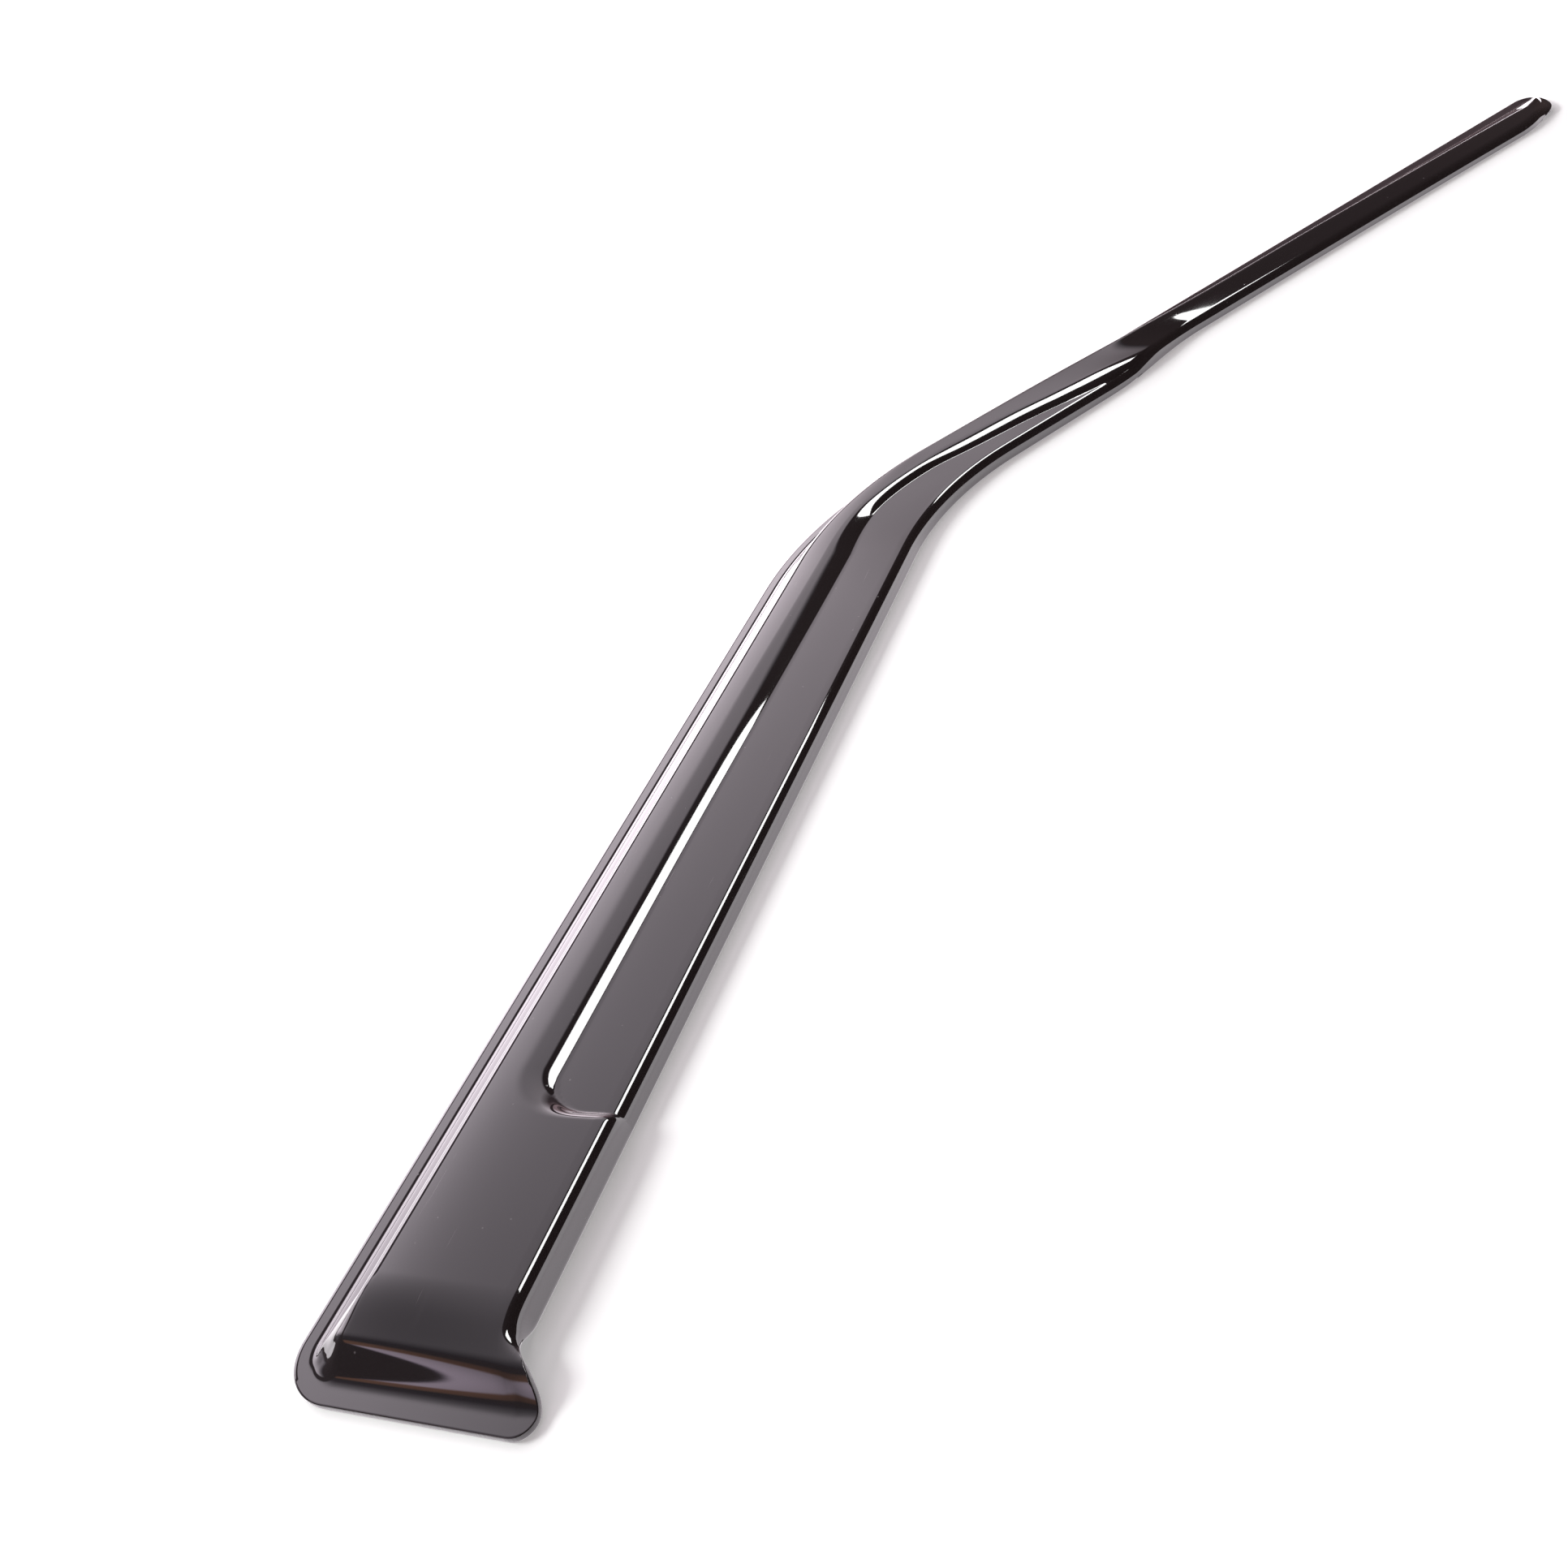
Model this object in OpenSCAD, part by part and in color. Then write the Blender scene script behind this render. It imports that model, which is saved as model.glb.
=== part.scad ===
// Window rain deflector for the right-hand front door of a car.
// One sheet of smoke-tinted acrylic, heat-formed over a mould. Millimetres, Z up.
// It lies as on a table: the flange and the foot of the skirt are at z = 0.
// X runs along the rear part towards the nose, Y points to the outer edge.
// The origin is on the underside of the flange, half-way along the rear part.

/* [Plan] */
// rear part, end edge to the corner of the bend
rear_len = 480; // [380:5:600]
// front part, corner of the bend to the nose
front_len = 460; // [360:1:600]
// turn of the skirt line at the bend, degrees
bend_angle = 36.4; // [20:0.2:45]
// bend radius on the skirt line
bend_r = 140; // [100:5:200]
// bend radius on the outer edge
outer_bend_r = 160; // [120:5:200]
// width at the rear end, skirt line to outer edge
rear_w = 77; // [70:1:90]
// width at the corner of the bend, rear side
mid_w = 68.5; // [66:0.5:75]
// width at the corner of the bend, front side
front_w = 43; // [40:0.5:48]
// distance of the nose from the skirt line
nose_w = 34; // [32:0.5:38]

/* [Sheet and section] */
// sheet thickness
sheet_t = 2.5; // [2:0.1:3]
// flat flange round the outer edge
flange_w = 6; // [5:0.5:8]
// shoulder between flange and crown
shoulder_w = 14.5; // [13:0.5:16]
// shoulder in the front part
front_shoulder_w = 11.5; // [10.5:0.5:14]
// crown height near the rear end
crown_h = 15; // [12:0.5:18]
// crown height in the middle of the front part
front_crown_h = 10; // [8.5:0.5:11]
// height of the fold at the rear end
fold_h = 11.5; // [9.5:0.5:13]
// height of the fold in the front part
front_fold_h = 5; // [4.6:0.1:6]
// tangent length of the rounded fold
fold_round = 4.2; // [4:0.1:5]
// lean of the skirt, degrees
skirt_draft = 6; // [2:1:10]

/* [Rear end] */
// length of the slope from the end flange to the crown
end_slope = 30; // [26:1:40]
// lean of the end edge, degrees
end_skew = 4; // [0:1:8]
// outer corner radius
corner_r = 20; // [14:1:24]
// radius of the flange corner at the window side
lip_r = 7; // [5:1:10]
// how far the end flange passes the skirt line
lip_out = 16; // [12:1:18]

/* [Recess] */
// start of the recessed panel, from the rear end edge
recess_start = 107; // [90:1:140]
// depth of the recessed panel
recess_depth = 3; // [1.5:0.25:3.25]
// width of the panel, skirt line to the foot of the step
recess_w = 31; // [28:0.5:33]
// width of the rounded step in plan, along the panel
step_w = 14; // [12:0.5:16]
// width of its wall in plan, at the rear end of the panel
wall_w = 5; // [4:0.5:8]
// rounding of the corner of the panel in plan
recess_r = 16; // [8:1:20]
// where the panel runs out over the fold, from the corner of the bend
recess_end = 155; // [140:5:175]
// outward set of the panel's skirt against the front skirt
kink = 11; // [8:0.5:12]

/* [Nose] */
// length of the curved run of the skirt into the nose
nose_len = 40; // [36:1:60]
// rounding of the outer edge at the nose
nose_r = 8; // [6:1:12]

/* [View] */
// part to show

/* [Hidden] */
smoke = [0.13, 0.12, 0.13];

// helper functions
function clamp(v, lo, hi) = max(lo, min(hi, v));
function wave(v) = 0.5 - 0.5 * cos(180 * clamp(v, 0, 1));
function mix(a, b, f) = a + (b - a) * f;
function unit(v) = v / norm(v);
function right_of(v) = [v[1], -v[0]];
function meet(p, d, q, e) = p + d * cross(q - p, e) / cross(d, e);

// the two plan lines between which the sheet is shaped: the skirt line and the outer edge
in_corner = [rear_len, 0];
front_dir = [cos(bend_angle), -sin(bend_angle)];
front_left = [sin(bend_angle), cos(bend_angle)];
in_start = [0, 0];
in_end = in_corner + front_dir * front_len;
out_start = [-rear_w * tan(end_skew), rear_w];
out_end = in_end + front_left * nose_w;
out_bend = meet(out_start, [rear_len, mid_w] - out_start,
                out_end, in_corner + front_left * front_w - out_end);

// point on a line made of straight, arc, straight; u runs 0 to 1, 1 to 2 and 2 to 3 on them
function rail(u, a, c, b, r) =
    let (d1 = unit(c - a), d2 = unit(b - c), turn = acos(d1 * d2), tan_len = r * tan(turn / 2))
    u < 1 ? mix(a, c - d1 * tan_len, u) :
    u < 2 ? let (w = turn * (u - 1))
            c - d1 * tan_len + r * (sin(w) * d1 + (1 - cos(w)) * right_of(d1)) :
            mix(c + d2 * tan_len, b, u - 2);
function skirt_line(u) = rail(u, in_start, in_corner, in_end, bend_r);
function outer_line(u) = rail(u, out_start, out_bend, out_end, outer_bend_r);

// distances along the skirt line: x from the rear end edge, s from the corner of the bend
in_tan = bend_r * tan(bend_angle / 2);
rear_run = rear_len - in_tan;
front_run = front_len - in_tan;
function x_at(u) = min(u, 1) * rear_run;
function s_at(u) = u < 1 ? -in_tan : u < 2 ? mix(-in_tan, in_tan, u - 1) : in_tan + front_run * (u - 2);
function u_of_x(x) = x / rear_run;
function u_of_s(s) = 2 + (s - in_tan) / front_run;

// set-back of the skirt from its line: the kink behind the recess and the run into the nose
nose_start = front_len - nose_len;
kink_end = recess_end + 30;
function set_back(u) =
    let (s = s_at(u), f = clamp((s - nose_start) / nose_len, 0, 1))
    u < 2 ? 0 :
    kink * wave((s - recess_end + 45) / 75) - kink * 0.8 * clamp((s - kink_end) / (nose_start - kink_end), 0, 1)
    + (nose_w - 0.8 * nose_r - kink * 0.2) * (1 - sqrt(1 - f * f));
function nose_cut(u) = let (g = clamp((s_at(u) - front_len) / nose_r + 1, 0, 1))
    u < 2 ? 0 : 0.8 * nose_r * (1 - sqrt(1 - g * g));
function width(u) = norm(outer_line(u) - skirt_line(u)) - set_back(u) - nose_cut(u);

// heights along the part
function crown_at(u) = let (s = s_at(u))
    u < 2 ? mix(crown_h, crown_h - 1, min(u, 1)) :
    lookup(s, [[in_tan, crown_h - 1], [0.22 * front_len, crown_h - 1.5], [0.5 * front_len, front_crown_h],
               [nose_start, front_crown_h - 2.8], [front_len - 8, front_crown_h - 4], [front_len, sheet_t + 1]]);
function shoulder_at(u) =
    u < 2 ? shoulder_w : mix(shoulder_w, front_shoulder_w, wave(s_at(u) / (0.25 * front_len) - 1.6));
function fold_at(u) = let (s = s_at(u))
    u < 1 ? mix(fold_h, fold_h - 1, u) :
    lookup(s, [[-in_tan, fold_h - 1], [recess_end - 30, fold_h - 3.5],
               [recess_end + 35, front_fold_h + 0.6], [nose_start, front_fold_h]]);

// rear slope, 0 on the end flange and 1 on the crown
function rise(a) = wave((a - flange_w) / end_slope);
// 1 where the skirt is folded down, 0 where the sheet runs out flat into the end flange or the nose
function folded(u) = let (a = x_at(u), s = s_at(u))
    u < 1 ? wave((a - 0.45 * end_slope - flange_w) / (0.55 * end_slope)) :
    u > 2 ? wave((front_len - 3 - s) / 22) : 1;

// foot of the step that bounds the recessed panel
function step_line(u) = let (s = s_at(u))
    u < 1 ? recess_w - 2 * wave(2 * u - 1) :
    lookup(s, [[-in_tan, recess_w - 2], [-0.2 * in_tan, 1.02 * recess_w], [0.16 * recess_end, 0.87 * recess_w],
               [0.3 * recess_end, 0.65 * recess_w], [0.48 * recess_end, 0.48 * recess_w],
               [0.7 * recess_end, 0.2 * recess_w], [recess_end, 0], [recess_end + 40, -0.2 * recess_w]]);
// width of the step, narrower in the bend and where the panel runs out
function step_at(u) = step_w * lookup(u < 1 ? in_tan * (u - 2) : s_at(u),
    [[-1.5 * in_tan, 1], [-in_tan, 0.8], [0, 0.6], [0.15 * recess_end, 0.6],
     [0.3 * recess_end, 1], [0.7 * recess_end, 1], [recess_end, 0.7]]);
// 1 inside the panel, falling to 0 over a step that rounds off upwards; round a rounded corner
// the step turns into the steeper wall at the panel's rear end
function inset(u, n, line, step) =
    let (p = x_at(u) - recess_start, q = line - n, c = [recess_r - p, recess_r - q],
         corner = p < recess_r && q < recess_r,
         d = corner ? recess_r - norm(c) : min(p, q),
         w = corner ? mix(wall_w, step, pow(c[1] / norm(c), 2)) : p < q ? wall_w : step)
    pow(clamp(d / w + 1, 0, 1), 2.4);

// section at u: points [n, z] with n measured from the skirt line to the outer edge
crown_cols = 3;
panel_cols = 3;
step_cols = 6;
shoulder_cols = 7;
fold_cols = 4;
foot_cols = 2;

function section(u) =
    let (w = width(u), back = set_back(u), a = x_at(u),
         q = min(1, w / 24), flat = folded(u), up = u < 1 ? rise(a) : 1,
         edge_z = sheet_t + (fold_at(u) - sheet_t) * up * (u > 2 ? mix(0.15, 1, flat) : 1),
         slope = lookup(u, [[0, 8], [1, 10], [2, 16], [2.4, 15], [3, 12]]) * up * q,
         spread = u < 1 ? (1 - wave((a - flange_w) / (0.75 * end_slope))) : 0,
         corner_n = edge_z * tan(skirt_draft) * flat - spread * 0.55 * lip_out,
         leg = fold_round * q,
         c = [corner_n, edge_z - recess_depth * up * inset(u, corner_n + back, step_line(u), step_at(u))],
         e = c + leg * [cos(slope), sin(slope)],
         foot = mix([c[0] - 4 * q - pow(spread, 1.3) * (0.45 * lip_out - 4), c[1]], [0, 0], flat),
         g = c + min(leg, 0.65 * norm(foot - c)) * unit(foot - c),
         fl = flange_w * min(1, w / 18),
         sh = min(shoulder_at(u), 0.66 * (w - fl - e[0])),
         n_sh = w - fl - sh,
         top = sheet_t + min(crown_at(u) - sheet_t, 0.071 * sh * sh) * up,
         run = n_sh - e[0], step = min(step_at(u), 0.5 * run),
         n_st = clamp(step_line(u) - back, e[0] + max(run / 8, min(2.4, run / 3)), n_sh - 1.15 * step),
         line = min(step_line(u), n_sh - 1.15 * step + back),
         cols = concat(
             [w, w - fl / 2],
             [for (k = [0 : shoulder_cols]) w - fl - sh * k / shoulder_cols],
             [for (k = [1 : crown_cols]) mix(n_sh, n_st + step, k / (crown_cols + 1))],
             [for (k = [0 : step_cols]) n_st + step * pow(1 - k / step_cols, 1.3)],
             [for (k = [1 : panel_cols]) mix(n_st, e[0], k / (panel_cols + 1))]),
         base = edge_z + leg * sin(slope), m0 = tan(slope))
    concat(
        [for (n = cols)
            let (v = clamp((n - e[0]) / run, 0, 1),
                 arch = base * (1 - v * v * (3 - 2 * v)) + top * v * v * (3 - 2 * v)
                        + m0 * run * v * (1 - v) * (1 - v),
                 hill = (arch - sheet_t) * wave((w - fl - n) / sh))
            [n + back, sheet_t + hill - recess_depth * up * inset(u, n + back, line, step)
                       * (hill > 4 ? 1 : hill / 4)]],
        [for (k = [0 : fold_cols])
            let (f = k / fold_cols, p = (1 - f) * (1 - f) * e + 2 * f * (1 - f) * c + f * f * g)
            [p[0] + back, p[1]]],
        [for (k = [1 : foot_cols])
            let (p = mix(g, foot, k / foot_cols)) [p[0] + back, p[1]]]);

// rows along the part, close together where the shape changes
rows = concat(
    [for (x = [0, 0.5, 1]) u_of_x(x * flange_w)],
    [for (k = [1 : 12]) u_of_x(flange_w + end_slope * k / 12)],
    [for (k = [1 : 5]) u_of_x(mix(flange_w + end_slope, recess_start - wall_w, k / 6))],
    [for (k = [0 : 5]) u_of_x(recess_start - wall_w * pow(1 - k / 5, 1.3))],
    [for (k = [1.2 : 1.6 : 17.2]) u_of_x(recess_start + k)],
    [for (k = [1 : 7]) mix(u_of_x(recess_start + 26), 1, k / 8)],
    [for (k = [0 : 12]) 1 + k / 12],
    [for (k = [1 : 3]) mix(2, u_of_s(recess_end - 50), k / 4)],
    [for (k = [0 : 11]) u_of_s(recess_end - 50 + 8 * k)],
    [for (k = [1 : 7]) mix(u_of_s(recess_end + 38), u_of_s(nose_start), k / 7)],
    [for (k = [1 : 12]) u_of_s(nose_start + nose_len * sin(82 * k / 12))]);
row_count = len(rows);
col_count = len(section(0));

// corner of the rear end, rounded so that rows and columns run round it side by side
// a, b: distances from the two edges that meet; r: radius. Gives the moved distances.
function round_corner(a, b, r) =
    let (m = min(a, b), far = max(a, b), rim = 1.6 * r, q = max(r - m, 0.01), arc = q * PI / 4)
    far > rim || m >= r ? [a, b] :
    let (run = (far - m) / (rim - m) * (arc + rim - r), w = min(run / q * 180 / PI, 45),
         p = run < arc ? [r - q * cos(45 - w), r - q * sin(45 - w)] : [m, r + run - arc])
    a < b ? [p[1] > 0 ? r - q * cos(45 - w) : m, run < arc ? r - q * sin(45 - w) : r + run - arc] :
            [run < arc ? r - q * sin(45 - w) : r + run - arc, r - q * cos(45 - w)];

function place(u, n, z) =
    let (a = skirt_line(u), b = outer_line(u), d = unit(b - a), p = a + d * n) [p[0], p[1], z];
datum = place(0.5, width(0.5) - flange_w / 2, 0);

function shell_point(i, j, sec) =
    let (u = rows[i], n = sec[j][0], z = sec[j][1], a = x_at(u), w = width(u),
         edge = sec[col_count - 1][0],
         o = u < 1 ? round_corner(a, w - n, corner_r) : [a, w - n],
         l = u < 1 ? round_corner(a, n - edge, lip_r) : [a, n - edge])
    u >= 1 ? place(u, n, z) :
    w - n < 2 * corner_r ? place(u_of_x(o[0]), w - o[1], z) :
                           place(u_of_x(l[0]), edge + l[1], z);

outer_skin = [for (i = [0 : row_count - 1]) let (sec = section(rows[i]))
                 [for (j = [0 : col_count - 1]) shell_point(i, j, sec)]];

// the inner skin lies one sheet thickness below the outer one
quad_normals = [for (i = [0 : row_count - 2]) [for (j = [0 : col_count - 2])
                   unit(cross(outer_skin[i + 1][j + 1] - outer_skin[i][j],
                              outer_skin[i + 1][j] - outer_skin[i][j + 1]))]];
function sum(v, k = 0) = k == len(v) - 1 ? v[k] : v[k] + sum(v, k + 1);
function normal_at(i, j) =
    let (tip = clamp((s_at(rows[i]) - front_len + 20) / 15, 0, 1),
         near = unit(sum([for (a = [i - 1, i], b = [j - 2 : j + 1])
                             quad_normals[clamp(a, 0, row_count - 2)][clamp(b, 0, col_count - 2)]])))
    unit(rows[i] < 2 ? near : mix(near, [0, 0, 1], tip));
inner_skin = [for (i = [0 : row_count - 1]) [for (j = [0 : col_count - 1])
                 let (o = outer_skin[i][j], p = o - sheet_t * normal_at(i, j),
                      low = j < col_count - 4 ? 0 : 0.4 * o[2] * folded(rows[i]))
                 [p[0], p[1], max(p[2], low)]]];

module deflector_shell() {
    n = row_count * col_count;
    mid = floor(col_count / 2);
    function id(i, j) = i * col_count + j;
    skin = [for (i = [0 : row_count - 2], j = [0 : col_count - 2])
        each (j < mid ?
            [[id(i, j), id(i + 1, j + 1), id(i, j + 1)], [id(i, j), id(i + 1, j), id(i + 1, j + 1)]] :
            [[id(i, j), id(i + 1, j), id(i, j + 1)], [id(i, j + 1), id(i + 1, j), id(i + 1, j + 1)]])];
    back = [for (f = skin) [f[2] + n, f[1] + n, f[0] + n]];
    rim = concat([for (j = [0 : col_count - 1]) id(0, j)],
                 [for (i = [1 : row_count - 1]) id(i, col_count - 1)],
                 [for (j = [col_count - 2 : -1 : 0]) id(row_count - 1, j)],
                 [for (i = [row_count - 2 : -1 : 1]) id(i, 0)]);
    side = [for (k = [0 : len(rim) - 1]) let (a = rim[k], b = rim[(k + 1) % len(rim)])
        each [[a, b, b + n], [a, b + n, a + n]]];
    color(smoke)
        translate(-datum)
            polyhedron([for (r = outer_skin) each r, for (r = inner_skin) each r], concat(skin, back, side));
}

deflector_shell();
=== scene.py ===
from math import acos, cos, exp, hypot, log, pi, radians, sin, sqrt, tan

import bmesh
import bpy
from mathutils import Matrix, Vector


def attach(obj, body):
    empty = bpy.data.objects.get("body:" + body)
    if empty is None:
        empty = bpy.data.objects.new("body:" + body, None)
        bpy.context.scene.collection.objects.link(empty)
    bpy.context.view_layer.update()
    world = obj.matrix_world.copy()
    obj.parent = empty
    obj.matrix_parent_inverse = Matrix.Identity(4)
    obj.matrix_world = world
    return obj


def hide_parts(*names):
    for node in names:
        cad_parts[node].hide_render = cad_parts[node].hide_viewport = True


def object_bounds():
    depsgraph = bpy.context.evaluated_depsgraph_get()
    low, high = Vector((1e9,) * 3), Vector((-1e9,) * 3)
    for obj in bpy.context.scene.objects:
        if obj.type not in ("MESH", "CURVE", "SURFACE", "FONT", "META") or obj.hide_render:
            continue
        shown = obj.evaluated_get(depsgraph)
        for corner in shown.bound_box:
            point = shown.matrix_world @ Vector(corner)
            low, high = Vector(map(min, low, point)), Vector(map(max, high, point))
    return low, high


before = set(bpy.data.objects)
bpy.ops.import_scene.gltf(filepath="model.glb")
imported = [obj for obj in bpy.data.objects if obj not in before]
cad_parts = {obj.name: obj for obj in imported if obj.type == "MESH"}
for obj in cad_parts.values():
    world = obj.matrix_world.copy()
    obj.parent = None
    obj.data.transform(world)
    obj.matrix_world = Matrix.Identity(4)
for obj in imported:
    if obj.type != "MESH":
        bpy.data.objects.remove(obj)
cadBox = [[float(v) for v in corner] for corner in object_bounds()]
print("frame loaded")

mm = 0.001


def clamp(v, low, high):
    return max(low, min(high, v))


def wave(v):  # smooth step from 0 to 1
    return 0.5 - 0.5 * cos(pi * clamp(v, 0, 1))


def mix(a, b, f):
    return a + (b - a) * f


def ramp(v, e):  # straight slope from 0 to 1 with both ends rounded over e
    v = clamp(v, 0, 1)
    if v > 0.5:
        return 1 - ramp(1 - v, e)
    return v * v / (2 * e * (1 - e)) if v < e else (v - e / 2) / (1 - e)


def easeThrough(x, points):  # smooth curve through the points, with no overshoot
    if x <= points[0][0]:
        return points[0][1]
    if x >= points[-1][0]:
        return points[-1][1]
    chord = [(b[1] - a[1]) / (b[0] - a[0]) for a, b in zip(points, points[1:])]
    between = [0 if p * q <= 0 else 2 * p * q / (p + q) for p, q in zip(chord, chord[1:])]
    slope = [chord[0]] + between + [chord[-1]]
    k = max(i for i in range(len(points) - 1) if points[i][0] <= x)
    width = points[k + 1][0] - points[k][0]
    f = (x - points[k][0]) / width
    return (points[k][1] * (1 + 2 * f) * (1 - f) ** 2 + slope[k] * width * f * (1 - f) ** 2
            + points[k + 1][1] * f * f * (3 - 2 * f) - slope[k + 1] * width * f * f * (1 - f))


# the shell: lengths in mm, angles in degrees
shell = {
    "rearLen": 480, "frontLen": 460, "bendAngle": 36.4, "bendR": 140, "outerBendR": 160,
    "rearW": 77, "midW": 68.5, "frontW": 43, "noseW": 34,
    "sheet": 2.5, "flangeW": 6, "shoulderW": 14.5, "frontShoulderW": 11.5, "crownH": 15, "frontCrownH": 10,
    "foldH": 11.5, "frontFoldH": 5, "foldRound": 4.2, "skirtDraft": 6,
    "endSlope": 30, "endSkew": 4, "cornerR": 20, "lipR": 7, "lipOut": 16,
    "endSteep": 0.55,  # share of the end's rise that is steep and near its foot
    "endSteepRun": 0.47, "endLongRun": 1.15,  # lengths of its steep and its long rise, against endSlope
    "recessStart": 107, "recessDepth": 3, "recessW": 31, "stepW": 14, "wallW": 5, "recessR": 16,
    "recessEnd": 155, "kink": 11, "noseLen": 40, "noseR": 8,
    "stepSteep": 2.4,  # how much steeper the recess's walls are at their foot than on average
    "crease": 0.18,  # rounding of the crease round the recessed panel
    "shoulderReach": 1.12,  # length of the shoulder's slope against its width
    "shoulderRound": 0.13,  # share of the shoulder's width that is rounded, at each end
    "cornerSoft": 9,  # length over which the rear corner is evened out
    "edgeRound": 0.35,  # rounding of the cut edges
    "rowsPerStep": 4,
    "columns": {"flange": 4, "shoulder": 22, "crown": 7, "step": 14, "panel": 14, "fold": 8, "foot": 5},
}


def rail(u, start, corner, end, radius):  # straight, arc, straight
    d1, d2 = (corner - start).normalized(), (end - corner).normalized()
    turn = acos(d1.dot(d2))
    tangent = radius * tan(turn / 2)
    if u < 1:
        return start.lerp(corner - d1 * tangent, u)
    if u < 2:
        w = turn * (u - 1)
        return corner - d1 * tangent + radius * (sin(w) * d1 + (1 - cos(w)) * Vector((d1.y, -d1.x)))
    return (corner + d2 * tangent).lerp(end, u - 2)


def meet(p, d, q, e):  # where the line through p along d crosses the line through q along e
    return p + d * ((q - p).cross(e) / d.cross(e))


bend = radians(shell["bendAngle"])
inCorner = Vector((shell["rearLen"], 0))
frontDir = Vector((cos(bend), -sin(bend)))
frontLeft = Vector((sin(bend), cos(bend)))
inEnd = inCorner + frontDir * shell["frontLen"]
outStart = Vector((-shell["rearW"] * tan(radians(shell["endSkew"])), shell["rearW"]))
outEnd = inEnd + frontLeft * shell["noseW"]
outBend = meet(outStart, Vector((shell["rearLen"], shell["midW"])) - outStart,
               outEnd, inCorner + frontLeft * shell["frontW"] - outEnd)
inTan = shell["bendR"] * tan(bend / 2)
rearRun = shell["rearLen"] - inTan
frontRun = shell["frontLen"] - inTan
noseStart = shell["frontLen"] - shell["noseLen"]


def skirtLine(u):
    return rail(u, Vector((0, 0)), inCorner, inEnd, shell["bendR"])


def outerLine(u):
    return rail(u, outStart, outBend, outEnd, shell["outerBendR"])


def xAt(u):  # distance along the rear part from its end
    return min(u, 1) * rearRun


def sAt(u):  # distance along the front part from the bend's corner
    return -inTan if u < 1 else mix(-inTan, inTan, u - 1) if u < 2 else inTan + frontRun * (u - 2)


def uOfX(x):
    return x / rearRun


def uOfS(s):
    return 2 + (s - inTan) / frontRun


def setBack(u):  # how far the front part's skirt lies inside the skirt line
    if u < 2:
        return 0
    s, kink, end = sAt(u), shell["kink"], shell["recessEnd"]
    f = clamp((s - noseStart) / shell["noseLen"], 0, 1)
    tip = shell["noseW"] - 0.8 * shell["noseR"] - kink * 0.2
    return (kink * wave((s - end + 45) / 75)
            - kink * 0.8 * clamp((s - end - 30) / (noseStart - end - 30), 0, 1)
            + tip * (1 - sqrt(1 - f * f)))


def width(u):  # from the skirt line to the outer edge, less at the tip
    g = clamp((sAt(u) - shell["frontLen"]) / shell["noseR"] + 1, 0, 1) if u > 2 else 0
    cut = 0.8 * shell["noseR"] * (1 - sqrt(1 - g * g))
    return (outerLine(u) - skirtLine(u)).length - setBack(u) - cut


def crownAt(u):  # height of the crown
    h, low, length = shell["crownH"], shell["frontCrownH"], shell["frontLen"]
    if u < 2:
        return mix(h, h - 1, min(u, 1))
    return easeThrough(sAt(u), [(inTan, h - 1), (0.22 * length, h - 1.5), (0.5 * length, low),
                                (noseStart, low - 2.8), (length - 8, low - 4), (length, shell["sheet"] + 1)])


def shoulderAt(u):  # width of the slope between flange and crown
    if u < 2:
        return shell["shoulderW"]
    return mix(shell["shoulderW"], shell["frontShoulderW"], wave(sAt(u) / (0.25 * shell["frontLen"]) - 1.6))


def foldAt(u):  # height of the fold over the skirt
    h, low, end = shell["foldH"], shell["frontFoldH"], shell["recessEnd"]
    if u < 1:
        return mix(h, h - 1, u)
    return easeThrough(sAt(u), [(-inTan, h - 1), (end - 30, h - 3.5), (end + 35, low + 0.6),
                                (noseStart, low)])


def rise(a):  # the closed rear end's height, 0 at its flange and 1 at the crown
    v, steep = (a - shell["flangeW"]) / shell["endSlope"], shell["endSteep"]
    return steep * wave(v / shell["endSteepRun"]) + (1 - steep) * wave(v / shell["endLongRun"])


def folded(u):  # 1 where the skirt hangs upright, 0 where it lies flat as the end's lip
    if u < 1:
        return wave((xAt(u) - 0.45 * shell["endSlope"] - shell["flangeW"]) / (0.55 * shell["endSlope"]))
    return wave((shell["frontLen"] - 3 - sAt(u)) / 22) if u > 2 else 1


def stepLine(u):  # foot of the step that bounds the recessed panel
    w, end = shell["recessW"], shell["recessEnd"]
    if u < 1:
        return w - 2 * wave(2 * u - 1)
    return easeThrough(sAt(u), [(-inTan, w - 2), (-0.2 * inTan, 1.02 * w), (0.16 * end, 0.87 * w),
                                (0.3 * end, 0.65 * w), (0.48 * end, 0.48 * w), (0.7 * end, 0.2 * w),
                                (end, 0), (end + 40, -0.2 * w)])


def stepAt(u):  # width of the step
    end = shell["recessEnd"]
    return shell["stepW"] * easeThrough(inTan * (u - 2) if u < 1 else sAt(u),
                                        [(-1.5 * inTan, 1), (-inTan, 0.8), (0, 0.6), (0.15 * end, 0.6),
                                         (0.3 * end, 1), (0.7 * end, 1), (end, 0.7)])


def steepAt(u):  # the step is softer towards the bend
    most, least = shell["stepSteep"], 1.15
    if u < 1:
        return easeThrough(xAt(u), [(180, most), (290, 1.9), (340, 1.3), (410, least)])
    return easeThrough(sAt(u), [(-inTan, least), (-12, 1.4), (10, 2.1), (40, most)])


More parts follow.
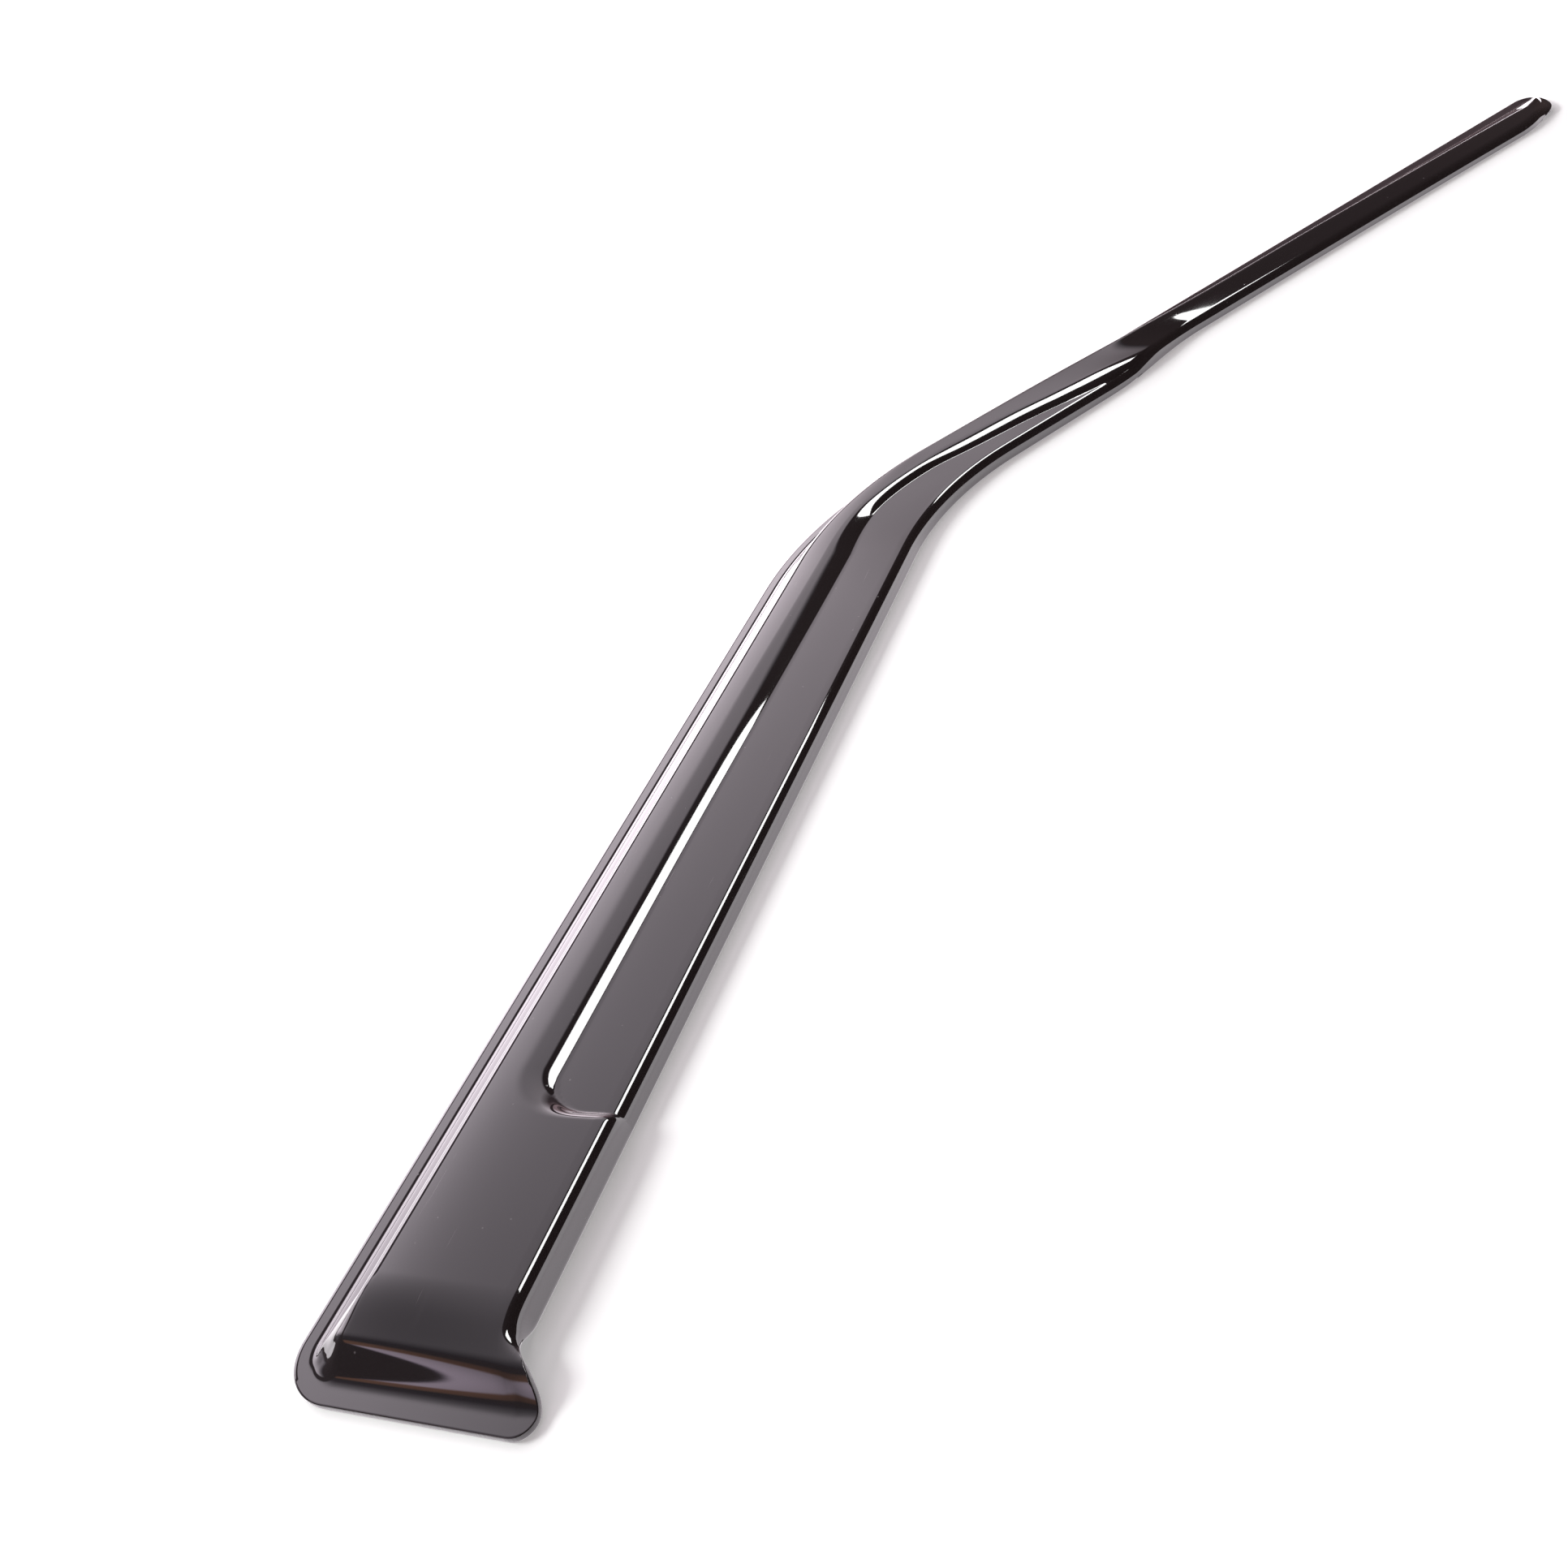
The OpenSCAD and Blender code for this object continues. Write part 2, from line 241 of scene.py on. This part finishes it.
def inset(u, n, line, step):  # 1 inside the recessed panel, 0 outside it
    p, q, r, wall = xAt(u) - shell["recessStart"], line - n, shell["recessR"], shell["wallW"]
    if p < r and q < r:
        reach = hypot(r - p, r - q)
        d, w = r - reach, mix(wall, step, ((r - q) / reach) ** 2)
    else:
        d, w = min(p, q), wall if p < q else step
    if d < -w:
        return 0
    d = -shell["crease"] * log(1 + exp(-d / shell["crease"]))
    return clamp(d / w + 1, 0, 1) ** (shell["stepSteep"] if p < q else steepAt(u))


def section(u):  # points (n, z), n from the skirt line to the outer edge
    cols, t = shell["columns"], shell["sheet"]
    w, back, a = width(u), setBack(u), xAt(u)
    q, flat, up = min(1, w / 24), folded(u), rise(a) if u < 1 else 1
    edgeZ = t + (foldAt(u) - t) * up * (mix(0.15, 1, flat) if u > 2 else 1)
    slope = radians(easeThrough(u, [(0, 8), (1, 10), (2, 16), (2.4, 15), (3, 12)]) * up * q)
    spread = 1 - wave((a - shell["flangeW"]) / (0.75 * shell["endSlope"])) if u < 1 else 0
    cornerN = edgeZ * tan(radians(shell["skirtDraft"])) * flat - spread * 0.55 * shell["lipOut"]
    leg = shell["foldRound"] * q
    sunk = shell["recessDepth"] * up * inset(u, cornerN + back, stepLine(u), stepAt(u))
    c = Vector((cornerN, edgeZ - sunk))
    e = c + leg * Vector((cos(slope), sin(slope)))
    loose = Vector((c.x - 4 * q - spread ** 1.3 * (0.45 * shell["lipOut"] - 4), c.y))
    foot = loose.lerp(Vector((0, 0)), flat)
    g = c + min(leg, 0.65 * (foot - c).length) * (foot - c).normalized()

    fl = shell["flangeW"] * min(1, w / 18)
    sh = min(shoulderAt(u), 0.66 * (w - fl - e.x))
    nSh = w - fl - sh
    top = t + min(crownAt(u) - t, 0.071 * sh * sh) * up  # a narrow shoulder rises less
    run = nSh - e.x
    step = min(stepAt(u), 0.5 * run)
    nSt = clamp(stepLine(u) - back, e.x + max(run / 8, min(2.4, run / 3)), nSh - 1.15 * step)
    line = min(stepLine(u), nSh - 1.15 * step + back)
    base = edgeZ + leg * sin(slope)
    bulge = mix(0.25, 0.06, wave((u - 1.6) / 0.5))
    reach = shell["shoulderReach"] * sh
    nTop = max(w - fl - reach, nSt + step + 0.3)

    stops = [mix(w, w - fl, k / cols["flange"]) for k in range(cols["flange"])]
    stops += [mix(w - fl, nTop, k / cols["shoulder"]) for k in range(cols["shoulder"])]
    stops += [mix(nTop, nSt + step, k / cols["crown"]) for k in range(cols["crown"])]
    stops += [nSt + step * (1 - k / cols["step"]) ** 1.3 for k in range(cols["step"])]
    stops += [mix(nSt, e.x, (k / cols["panel"]) ** 1.4) for k in range(cols["panel"])]
    points = []
    for n in stops:
        v = clamp((n - e.x) / run, 0, 1)
        arch = mix(base, top, (1 + bulge) * v - bulge * v ** 5)
        hill = (arch - t) * ramp((w - fl - n) / reach, shell["shoulderRound"])
        drop = shell["recessDepth"] * up * inset(u, n + back, line, step) * clamp(hill / 4, 0, 1)
        points.append((n + back, t + hill - drop))
    for k in range(cols["fold"]):
        f = k / cols["fold"]
        p = (1 - f) ** 2 * e + 2 * f * (1 - f) * c + f * f * g
        points.append((p.x + back, p.y))
    for k in range(cols["foot"] + 1):
        p = g.lerp(foot, k / cols["foot"])
        points.append((p.x + back, p.y))
    return points


def roundCorner(a, b, r):  # rows and columns run round a corner of radius r side by side
    m, far = min(a, b), max(a, b)
    rim, q = 2.1 * r, max(r - m, 0.01)
    arc = q * pi / 4
    if far > rim or m >= r:
        return a, b
    run = (far - m) / (rim - m) * (arc + rim - r)
    w = min(run / q, pi / 4)
    near = r - q * cos(pi / 4 - w) if r + run - arc > 0 else m
    along = r - q * sin(pi / 4 - w) if run < arc else r + run - arc
    return (near, along) if a < b else (along, near)


def shoulderRise(b):  # the shoulder's height, 0 at the flange and 1 at the crown
    across = shell["shoulderReach"] * shell["shoulderW"]
    return ramp((b - shell["flangeW"]) / across, shell["shoulderRound"])


def cornerLevel(a, b):  # height in the rear corner against that of two crossing slopes
    tiny = 0.000001
    apart = a - b
    shift = abs(apart) * (1 - abs(apart) / hypot(apart, shell["cornerSoft"]))
    shift *= wave(2 - 2 * min(a, b) / shell["cornerR"])
    softA, softB = (a - shift, b) if apart > 0 else (a, b - shift)
    x, y, crossed = rise(softA), shoulderRise(softB), rise(a) * shoulderRise(b)
    if crossed < tiny:
        return 0
    k = 1.4 * min(x, y) * (1 - min(x, y)) + tiny
    h = clamp(0.5 + 0.5 * (y - x) / k, 0, 1)  # the lower of the two, with the change evened out
    return max(0, mix(y, x, h) - k * h * (1 - h)) / crossed


def place(u, n):  # point in plan at distance n from the skirt line
    a, b = skirtLine(u), outerLine(u)
    return a + (b - a).normalized() * n


def shellRows():  # where the rows lie: close together at the end slope, the recess's ends and the tip
    end, start, wall = shell["recessEnd"], shell["recessStart"], shell["wallW"]
    flange, slope = shell["flangeW"], shell["endSlope"]
    marks = [uOfX(x * flange) for x in (0, 0.5, 1)]
    marks += [uOfX(flange + slope * k / 12) for k in range(1, 15)]
    marks += [uOfX(mix(flange + slope * 14 / 12, start - wall, k / 6)) for k in range(1, 6)]
    marks += [uOfX(start - wall * (1 - k / 5) ** 1.3) for k in range(6)]
    marks += [uOfX(start + 1.2 + 1.6 * k) for k in range(11)]
    marks += [mix(uOfX(start + 26), 1, k / 8) for k in range(1, 8)]
    marks += [1 + k / 12 for k in range(13)]
    marks += [mix(2, uOfS(end - 50), k / 4) for k in range(1, 4)]
    marks += [uOfS(end - 50 + 8 * k) for k in range(12)]
    marks += [mix(uOfS(end + 38), uOfS(noseStart), k / 7) for k in range(1, 8)]
    marks += [uOfS(noseStart + shell["noseLen"] * sin(radians(82 * k / 12))) for k in range(1, 13)]
    steps = shell["rowsPerStep"]
    return [mix(a, b, k / steps) for a, b in zip(marks, marks[1:]) for k in range(steps)] + [marks[-1]]


datum = place(0.5, width(0.5) - shell["flangeW"] / 2)


def buildShell():
    rows, sheet = shellRows(), shell["sheet"]
    lines = [section(u) for u in rows]
    lastCol = len(lines[0]) - 1
    bm = bmesh.new()
    bmesh.ops.create_grid(bm, x_segments=len(rows) - 1, y_segments=lastCol, size=1)
    rowOf, colOf = bm.verts.layers.int.new("row"), bm.verts.layers.int.new("column")
    for v in bm.verts:
        i = v[rowOf] = round((v.co.x + 1) / 2 * (len(rows) - 1))
        j = v[colOf] = lastCol - round((v.co.y + 1) / 2 * lastCol)
        u, (n, z) = rows[i], lines[i][j]
        if u < 1:
            w, edge, a = width(u), lines[i][-1][0], xAt(u)
            if w - n < 2.2 * shell["cornerR"]:
                z = sheet + (z - sheet) * cornerLevel(a, w - n)
                a, b = roundCorner(a, w - n, shell["cornerR"])
                p = place(uOfX(a), w - b)
            else:
                a, b = roundCorner(a, n - edge, shell["lipR"])
                p = place(uOfX(a), edge + b)
        else:
            p = place(u, n)
        v.co = Vector((p.x - datum.x, p.y - datum.y, z)) * mm
    bm.normal_update()

    # direction of the sheet's thickness: the surface's, evened out over the folds and upright at the nose
    facing = {v: v.normal.copy() for v in bm.verts}
    for turn in range(3):
        facing = {v: sum((facing[e.other_vert(v)] for e in v.link_edges), facing[v]).normalized()
                  for v in bm.verts}
    skin, upright = {}, Vector((0, 0, 1))
    for v, normal in facing.items():
        u = rows[v[rowOf]]
        if u > 2:
            atTip = clamp((sAt(u) - shell["frontLen"] + 20) / 15, 0, 1)
            normal = normal.lerp(upright, atTip).normalized()
        low = 0 if v[colOf] < lastCol - shell["columns"]["foot"] else 0.4 * v.co.z * folded(u)
        inner = v.co - sheet * mm * normal
        skin[v[rowOf], v[colOf]] = v.co.copy(), Vector((inner.x, inner.y, max(inner.z, low)))

    bmesh.ops.solidify(bm, geom=bm.faces[:], thickness=sheet * mm)
    inside = set()
    for v in bm.verts:
        outerPlace, innerPlace = skin[v[rowOf], v[colOf]]
        if (v.co - outerPlace).length > 0.5 * mm:
            v.co = innerPlace
            inside.add(v)
    bm.normal_update()
    rim = [f for f in bm.faces if 0 < len(inside.intersection(f.verts)) < len(f.verts)]
    for face in bm.faces:
        face.material_index = 2 if inside.issuperset(face.verts) else 0
    for face in rim:
        face.material_index = 1
    rimSet, rimEdges = set(rim), {e for f in rim for e in f.edges}
    corners = [e for e in rimEdges if len(rimSet.intersection(e.link_faces)) == 1]
    print("shell volume, ml", round(bm.calc_volume(signed=True) * 1e6, 1), "cut edge faces", len(rim))
    bmesh.ops.bevel(bm, geom=corners, offset=shell["edgeRound"] * mm, affect="EDGES", segments=2, profile=0.5,
                    material=-1)
    low, high = cadBox
    for v in bm.verts:
        v.co = Vector([clamp(c, a, b) for c, a, b in zip(v.co, low, high)])
    for face in bm.faces:
        face.smooth = True
    mesh = bpy.data.meshes.new("shellSheet")
    bm.to_mesh(mesh)
    bm.free()
    piece = bpy.data.objects.new("shellSheet", mesh)
    bpy.context.scene.collection.objects.link(piece)
    return piece


shellSheet = buildShell()
print("shell built", len(shellSheet.data.polygons), "faces")

# smoke-tinted acrylic: colours and roughness of the finish
smoke = {
    "tint": (0.016, 0.0145, 0.016, 1), "dust": (0.22, 0.21, 0.21, 1),
    "index": 1.49, "gloss": 0.75, "coatRoughness": 0.02,
    "dustRoughness": 0.45, "wipedRoughness": 0.03, "bumpStrength": 0.25,
    "sides": {  # roughness, depth of the bump in m, dust, scratches, clear coat
        "smokeAcrylic": (0.04, 0.0004, 0.4, 0.35, 0.5),
        "cutEdge": (0.3, 0.0002, 0.15, 0, 0),
        "mouldSide": (0.16, 0.00006, 0.3, 0.5, 0.2),
    },
}


def newGroup(name, inputs, outputs):
    group = bpy.data.node_groups.new(name, "ShaderNodeTree")
    for label, kind, value in inputs:
        socket = group.interface.new_socket(label, in_out="INPUT", socket_type=kind)
        socket.default_value = value
    for label, kind in outputs:
        group.interface.new_socket(label, in_out="OUTPUT", socket_type=kind)
    return group, group.nodes.new("NodeGroupInput"), group.nodes.new("NodeGroupOutput")


def joined(tree, operation, *values):  # a math node; sockets are linked and numbers are set
    node = tree.nodes.new("ShaderNodeMath")
    node.operation = operation
    for socket, value in zip(node.inputs, values):
        if isinstance(value, bpy.types.NodeSocket):
            tree.links.new(value, socket)
        else:
            socket.default_value = value
    return node.outputs["Value"]


def dustGroup():  # specks of dust that lie on the sheet
    group, given, out = newGroup("dustSpecks",
                                 [("Scale", "NodeSocketFloat", 200), ("Amount", "NodeSocketFloat", 0.5)],
                                 [("Mask", "NodeSocketFloat")])
    add, link = group.nodes.new, group.links.new
    coord = add("ShaderNodeTexCoord")
    cells = add("ShaderNodeTexVoronoi")
    cells.feature = "F1"
    link(coord.outputs["Object"], cells.inputs["Vector"])
    link(given.outputs["Scale"], cells.inputs["Scale"])
    speck = add("ShaderNodeMapRange")
    speck.inputs["From Min"].default_value = 0.10
    speck.inputs["From Max"].default_value = 0.05
    link(cells.outputs["Distance"], speck.inputs["Value"])
    parts = add("ShaderNodeSeparateColor")
    link(cells.outputs["Color"], parts.inputs["Color"])
    rare = joined(group, "GREATER_THAN", parts.outputs["Red"], 0.86)
    specks = joined(group, "MULTIPLY", speck.outputs["Result"], rare)
    link(joined(group, "MULTIPLY", specks, given.outputs["Amount"]), out.inputs["Mask"])
    return group


def wavinessGroup():  # slight waves that heat-forming leaves in the sheet
    group, given, out = newGroup("formedWaves", [("Scale", "NodeSocketFloat", 14)],
                                 [("Height", "NodeSocketFloat")])
    add, link = group.nodes.new, group.links.new
    coord = add("ShaderNodeTexCoord")
    stretch = add("ShaderNodeMapping")
    stretch.inputs["Scale"].default_value = (0.35, 1.4, 1)
    stretch.inputs["Rotation"].default_value = (0, 0, radians(12))
    noise = add("ShaderNodeTexNoise")
    noise.inputs["Detail"].default_value = 1.5
    noise.inputs["Roughness"].default_value = 0.35
    link(coord.outputs["Object"], stretch.inputs["Vector"])
    link(stretch.outputs["Vector"], noise.inputs["Vector"])
    link(given.outputs["Scale"], noise.inputs["Scale"])
    link(noise.outputs["Fac"], out.inputs["Height"])
    return group


def streaks(group, scale, turn, low, high):  # long thin streaks from stretched noise
    add, link = group.nodes.new, group.links.new
    coord = add("ShaderNodeTexCoord")
    stretch = add("ShaderNodeMapping")
    stretch.inputs["Scale"].default_value = scale
    stretch.inputs["Rotation"].default_value = (0, 0, radians(turn))
    noise = add("ShaderNodeTexNoise")
    noise.inputs["Scale"].default_value = 1
    noise.inputs["Detail"].default_value = 2
    level = add("ShaderNodeMapRange")
    level.inputs["From Min"].default_value = low
    level.inputs["From Max"].default_value = high
    link(coord.outputs["Object"], stretch.inputs["Vector"])
    link(stretch.outputs["Vector"], noise.inputs["Vector"])
    link(noise.outputs["Fac"], level.inputs["Value"])
    return level.outputs["Result"]


def handledGroup():  # a few hair scratches and faint wiped patches
    group, given, out = newGroup("handledSheet", [("Amount", "NodeSocketFloat", 1)],
                                 [("Scratch", "NodeSocketFloat"), ("Wiped", "NodeSocketFloat")])
    link = group.links.new
    hair = streaks(group, (22, 1100, 22), 17, 0.7, 0.76)
    here = streaks(group, (34, 34, 34), 0, 0.56, 0.62)
    scratch = joined(group, "MULTIPLY", hair, here)
    link(joined(group, "MULTIPLY", scratch, given.outputs["Amount"]), out.inputs["Scratch"])
    link(streaks(group, (9, 26, 9), -8, 0.45, 0.75), out.inputs["Wiped"])
    return group


def sawnGroup():  # lines that the saw leaves across the cut edge
    group, _, out = newGroup("sawnEdge", [], [("Height", "NodeSocketFloat")])
    group.links.new(streaks(group, (1300, 1300, 90), 0, 0.3, 0.7), out.inputs["Height"])
    return group


def grainGroup():  # fine grain where the sheet touched the mould
    group, _, out = newGroup("mouldGrain", [], [("Height", "NodeSocketFloat")])
    group.links.new(streaks(group, (900, 900, 900), 0, 0.25, 0.75), out.inputs["Height"])
    return group


def smokeAcrylic(name, surface):
    roughness, depth, dustAmount, marks, coat = smoke["sides"][name]
    material = bpy.data.materials.new(name)
    material.use_nodes = True
    nodes, link = material.node_tree.nodes, material.node_tree.links.new
    shader = nodes["Principled BSDF"]
    shader.inputs["IOR"].default_value = smoke["index"]
    shader.inputs["Specular IOR Level"].default_value = smoke["gloss"]
    shader.inputs["Coat Weight"].default_value = coat
    shader.inputs["Coat Roughness"].default_value = smoke["coatRoughness"]
    specks = nodes.new("ShaderNodeGroup")
    specks.node_tree = dustNodes
    specks.inputs["Amount"].default_value = dustAmount
    handled = nodes.new("ShaderNodeGroup")
    handled.node_tree = handledNodes
    handled.inputs["Amount"].default_value = marks
    pale = joined(material.node_tree, "MAXIMUM", specks.outputs["Mask"], handled.outputs["Scratch"])
    colour = nodes.new("ShaderNodeMix")
    colour.data_type = "RGBA"
    colour.inputs[6].default_value = smoke["tint"]
    colour.inputs[7].default_value = smoke["dust"]
    link(pale, colour.inputs[0])
    link(colour.outputs[2], shader.inputs["Base Color"])
    wiped = nodes.new("ShaderNodeMix")
    wiped.inputs[2].default_value = roughness
    wiped.inputs[3].default_value = roughness + smoke["wipedRoughness"]
    link(handled.outputs["Wiped"], wiped.inputs[0])
    rough = nodes.new("ShaderNodeMix")
    rough.inputs[3].default_value = smoke["dustRoughness"]
    link(pale, rough.inputs[0])
    link(wiped.outputs[0], rough.inputs[2])
    link(rough.outputs[0], shader.inputs["Roughness"])
    texture = nodes.new("ShaderNodeGroup")
    texture.node_tree = surface
    bump = nodes.new("ShaderNodeBump")
    bump.inputs["Strength"].default_value = smoke["bumpStrength"]
    bump.inputs["Distance"].default_value = depth
    link(texture.outputs["Height"], bump.inputs["Height"])
    link(bump.outputs["Normal"], shader.inputs["Normal"])
    return material


dustNodes, handledNodes = dustGroup(), handledGroup()
for name, surface in zip(smoke["sides"], (wavinessGroup(), sawnGroup(), grainGroup())):
    shellSheet.data.materials.append(smokeAcrylic(name, surface))
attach(shellSheet, "root")
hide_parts("deflector_shell")
print("acrylic finish on")

# studio: floor, soft boxes and sky, in m
studio = {
    "floorSize": 30, "floorDrop": 0.0002, "floorColour": (0.84, 0.875, 0.85, 1),
    "floorRoughness": 0.8, "floorGloss": 0.1,
    "floorGlow": 0.3, "mirroredGlow": 1.5, "glowTint": (1.0, 0.93, 0.985, 1),
    "skyTint": (1.0, 0.9, 0.985), "skyNear": 1.4, "skyFar": 3.6, "skyLow": 8, "skyDark": (0.09, 0.062, 0.06),
    # where the sky changes, by its level behind the part: 0 overhead, more towards the horizon
    "paleFrom": (0.02, 0.1), "nearToFar": (0.5, 0.95), "darkGap": (0.92, 1.0), "lowFrom": (1.25, 1.35),
    "aboveHorizon": (0.05, 0.14), "lowSide": (-0.3, 0),  # by the direction's height and its X
    # tone along X, from behind the rear end at 0 to beyond the tip at 1
    "alongSky": [(0.1, (0.62, 0.56, 0.64)), (0.185, (0.6, 0.54, 0.6)), (0.2, (0.24, 0.13, 0.075)),
                 (0.235, (0.2, 0.11, 0.065)), (0.26, (0.03, 0.03, 0.03)), (0.33, (0.05, 0.045, 0.05)),
                 (0.5, (0.34, 0.34, 0.34)), (0.66, (0.68, 0.68, 0.68)), (0.74, (0.88, 0.88, 0.88)),
                 (0.87, (1.07, 1.06, 1.05)), (0.94, (0.14, 0.11, 0.11))],
    "boxes": [
        # name, place, point that it faces, width, height, power, lights the floor, seen in the gloss
        ("keyBox", (-1.2, 4.9, 3.1), (0.2, -0.1, 0), 1.9, 1.7, 300, True, False),
        ("overheadStrip", (1.3, -0.55, 2.0), (1.3, -0.55, 0), 1.5, 0.6, 36, False, True),
    ],
}


def buildFloor():
    bm = bmesh.new()
    bmesh.ops.create_grid(bm, x_segments=1, y_segments=1, size=studio["floorSize"] / 2)
    mesh = bpy.data.meshes.new("studioFloor")
    bm.to_mesh(mesh)
    bm.free()
    floor = bpy.data.objects.new("studioFloor", mesh)
    floor.location.z = -studio["floorDrop"]
    bpy.context.scene.collection.objects.link(floor)
    material = bpy.data.materials.new("paleFloor")
    material.use_nodes = True
    nodes, link = material.node_tree.nodes, material.node_tree.links.new
    shader = nodes["Principled BSDF"]
    shader.inputs["Base Color"].default_value = studio["floorColour"]
    shader.inputs["Roughness"].default_value = studio["floorRoughness"]
    shader.inputs["Specular IOR Level"].default_value = studio["floorGloss"]
    path = nodes.new("ShaderNodeLightPath")
    glow = nodes.new("ShaderNodeMix")
    glow.inputs[2].default_value = 0
    glow.inputs[3].default_value = studio["mirroredGlow"]
    link(path.outputs["Is Glossy Ray"], glow.inputs[0])
    shown = nodes.new("ShaderNodeMix")
    shown.inputs[3].default_value = studio["floorGlow"]
    link(path.outputs["Is Camera Ray"], shown.inputs[0])
    link(glow.outputs[0], shown.inputs[2])
    tint = nodes.new("ShaderNodeMix")
    tint.data_type = "RGBA"
    tint.inputs[6].default_value = (1, 1, 1, 1)
    tint.inputs[7].default_value = studio["glowTint"]
    link(path.outputs["Is Glossy Ray"], tint.inputs[0])
    link(tint.outputs[2], shader.inputs["Emission Color"])
    link(shown.outputs[0], shader.inputs["Emission Strength"])
    floor.data.materials.append(material)


def softBox(name, spot, target, wide, high, power, onFloor, inGloss):
    light = bpy.data.lights.new(name, "AREA")
    light.shape = "RECTANGLE"
    light.size, light.size_y = wide, high
    light.energy = power
    lamp = bpy.data.objects.new(name, light)
    lamp.location = spot
    lamp.rotation_euler = (Vector(spot) - Vector(target)).to_track_quat("Z", "Y").to_euler()
    lamp.visible_diffuse, lamp.visible_glossy = onFloor, inGloss
    bpy.context.scene.collection.objects.link(lamp)


def easeRange(tree, value, span, start, end):  # smooth change from start to end over the span
    node = tree.nodes.new("ShaderNodeMapRange")
    node.interpolation_type = "SMOOTHSTEP"
    node.inputs["From Min"].default_value, node.inputs["From Max"].default_value = span
    node.inputs["To Min"].default_value = start
    node.inputs["To Max"].default_value = end
    tree.links.new(value, node.inputs["Value"])
    return node.outputs["Result"]


def buildSky():  # pale behind the part, dark overhead and in front, white where the camera sees it
    world = bpy.data.worlds.new("studioSky")
    world.use_nodes = True
    nodes, link = world.node_tree.nodes, world.node_tree.links.new
    back = nodes["Background"]
    coord = nodes.new("ShaderNodeTexCoord")
    parts = nodes.new("ShaderNodeSeparateXYZ")
    link(coord.outputs["Generated"], parts.inputs["Vector"])
    tree, x, z = world.node_tree, parts.outputs["X"], parts.outputs["Z"]
    level = joined(tree, "DIVIDE", parts.outputs["Y"], joined(tree, "MAXIMUM", z, 0.01))
    edge = easeRange(tree, level, studio["paleFrom"], 0, 1)
    horizon = easeRange(tree, z, studio["aboveHorizon"], 0, 1)
    strength = easeRange(tree, level, studio["nearToFar"], studio["skyNear"], studio["skyFar"])
    gap = easeRange(tree, level, studio["darkGap"], 1, 0)
    low = easeRange(tree, level, studio["lowFrom"], 0, studio["skyLow"])
    side = easeRange(tree, x, studio["lowSide"], 0, 1)
    total = joined(tree, "MULTIPLY_ADD", low, side, joined(tree, "MULTIPLY", strength, gap))
    bright = joined(tree, "MULTIPLY", joined(tree, "MULTIPLY", edge, horizon), total)
    along = nodes.new("ShaderNodeMapRange")
    along.inputs["From Min"].default_value = -1
    along.inputs["From Max"].default_value = 1
    link(x, along.inputs["Value"])
    tones = nodes.new("ShaderNodeValToRGB")
    stops = tones.color_ramp.elements
    for k, (position, colour) in enumerate(studio["alongSky"]):
        stop = stops[k] if k < 2 else stops.new(position)
        stop.position, stop.color = position, (*colour, 1)
    link(along.outputs["Result"], tones.inputs["Fac"])
    pale = nodes.new("ShaderNodeVectorMath")
    pale.operation = "SCALE"
    pale.inputs[0].default_value = studio["skyTint"]
    link(bright, pale.inputs["Scale"])
    tinted = nodes.new("ShaderNodeVectorMath")
    tinted.operation = "MULTIPLY"
    link(pale.outputs["Vector"], tinted.inputs[0])
    link(tones.outputs["Color"], tinted.inputs[1])
    tone = nodes.new("ShaderNodeVectorMath")
    tone.operation = "MAXIMUM"
    tone.inputs[1].default_value = studio["skyDark"]
    link(tinted.outputs["Vector"], tone.inputs[0])
    path = nodes.new("ShaderNodeLightPath")
    shown = nodes.new("ShaderNodeMix")
    shown.data_type = "RGBA"
    shown.inputs[7].default_value = (1, 1, 1, 1)
    link(path.outputs["Is Camera Ray"], shown.inputs[0])
    link(tone.outputs["Vector"], shown.inputs[6])
    link(shown.outputs[2], back.inputs["Color"])
    bpy.context.scene.world = world


buildFloor()
buildSky()
for box in studio["boxes"]:
    softBox(*box)
print("studio lit")

# camera: where the photograph was taken from
camera = {
    "place": (-0.32713, -0.34163, 0.383), "turn": (49.8756, 16.9765, -68.8856),
    "lens": 35.005, "sensor": 36, "nearest": 0.02,
}
lensData = bpy.data.cameras.new("photoCamera")
lensData.sensor_fit = "HORIZONTAL"
lensData.sensor_width = camera["sensor"]
lensData.lens = camera["lens"]
lensData.clip_start = camera["nearest"]
photoCamera = bpy.data.objects.new("photoCamera", lensData)
photoCamera.location = camera["place"]
photoCamera.rotation_euler = [radians(v) for v in camera["turn"]]
bpy.context.scene.collection.objects.link(photoCamera)
bpy.context.scene.camera = photoCamera
bpy.context.scene.view_settings.view_transform = "Standard"
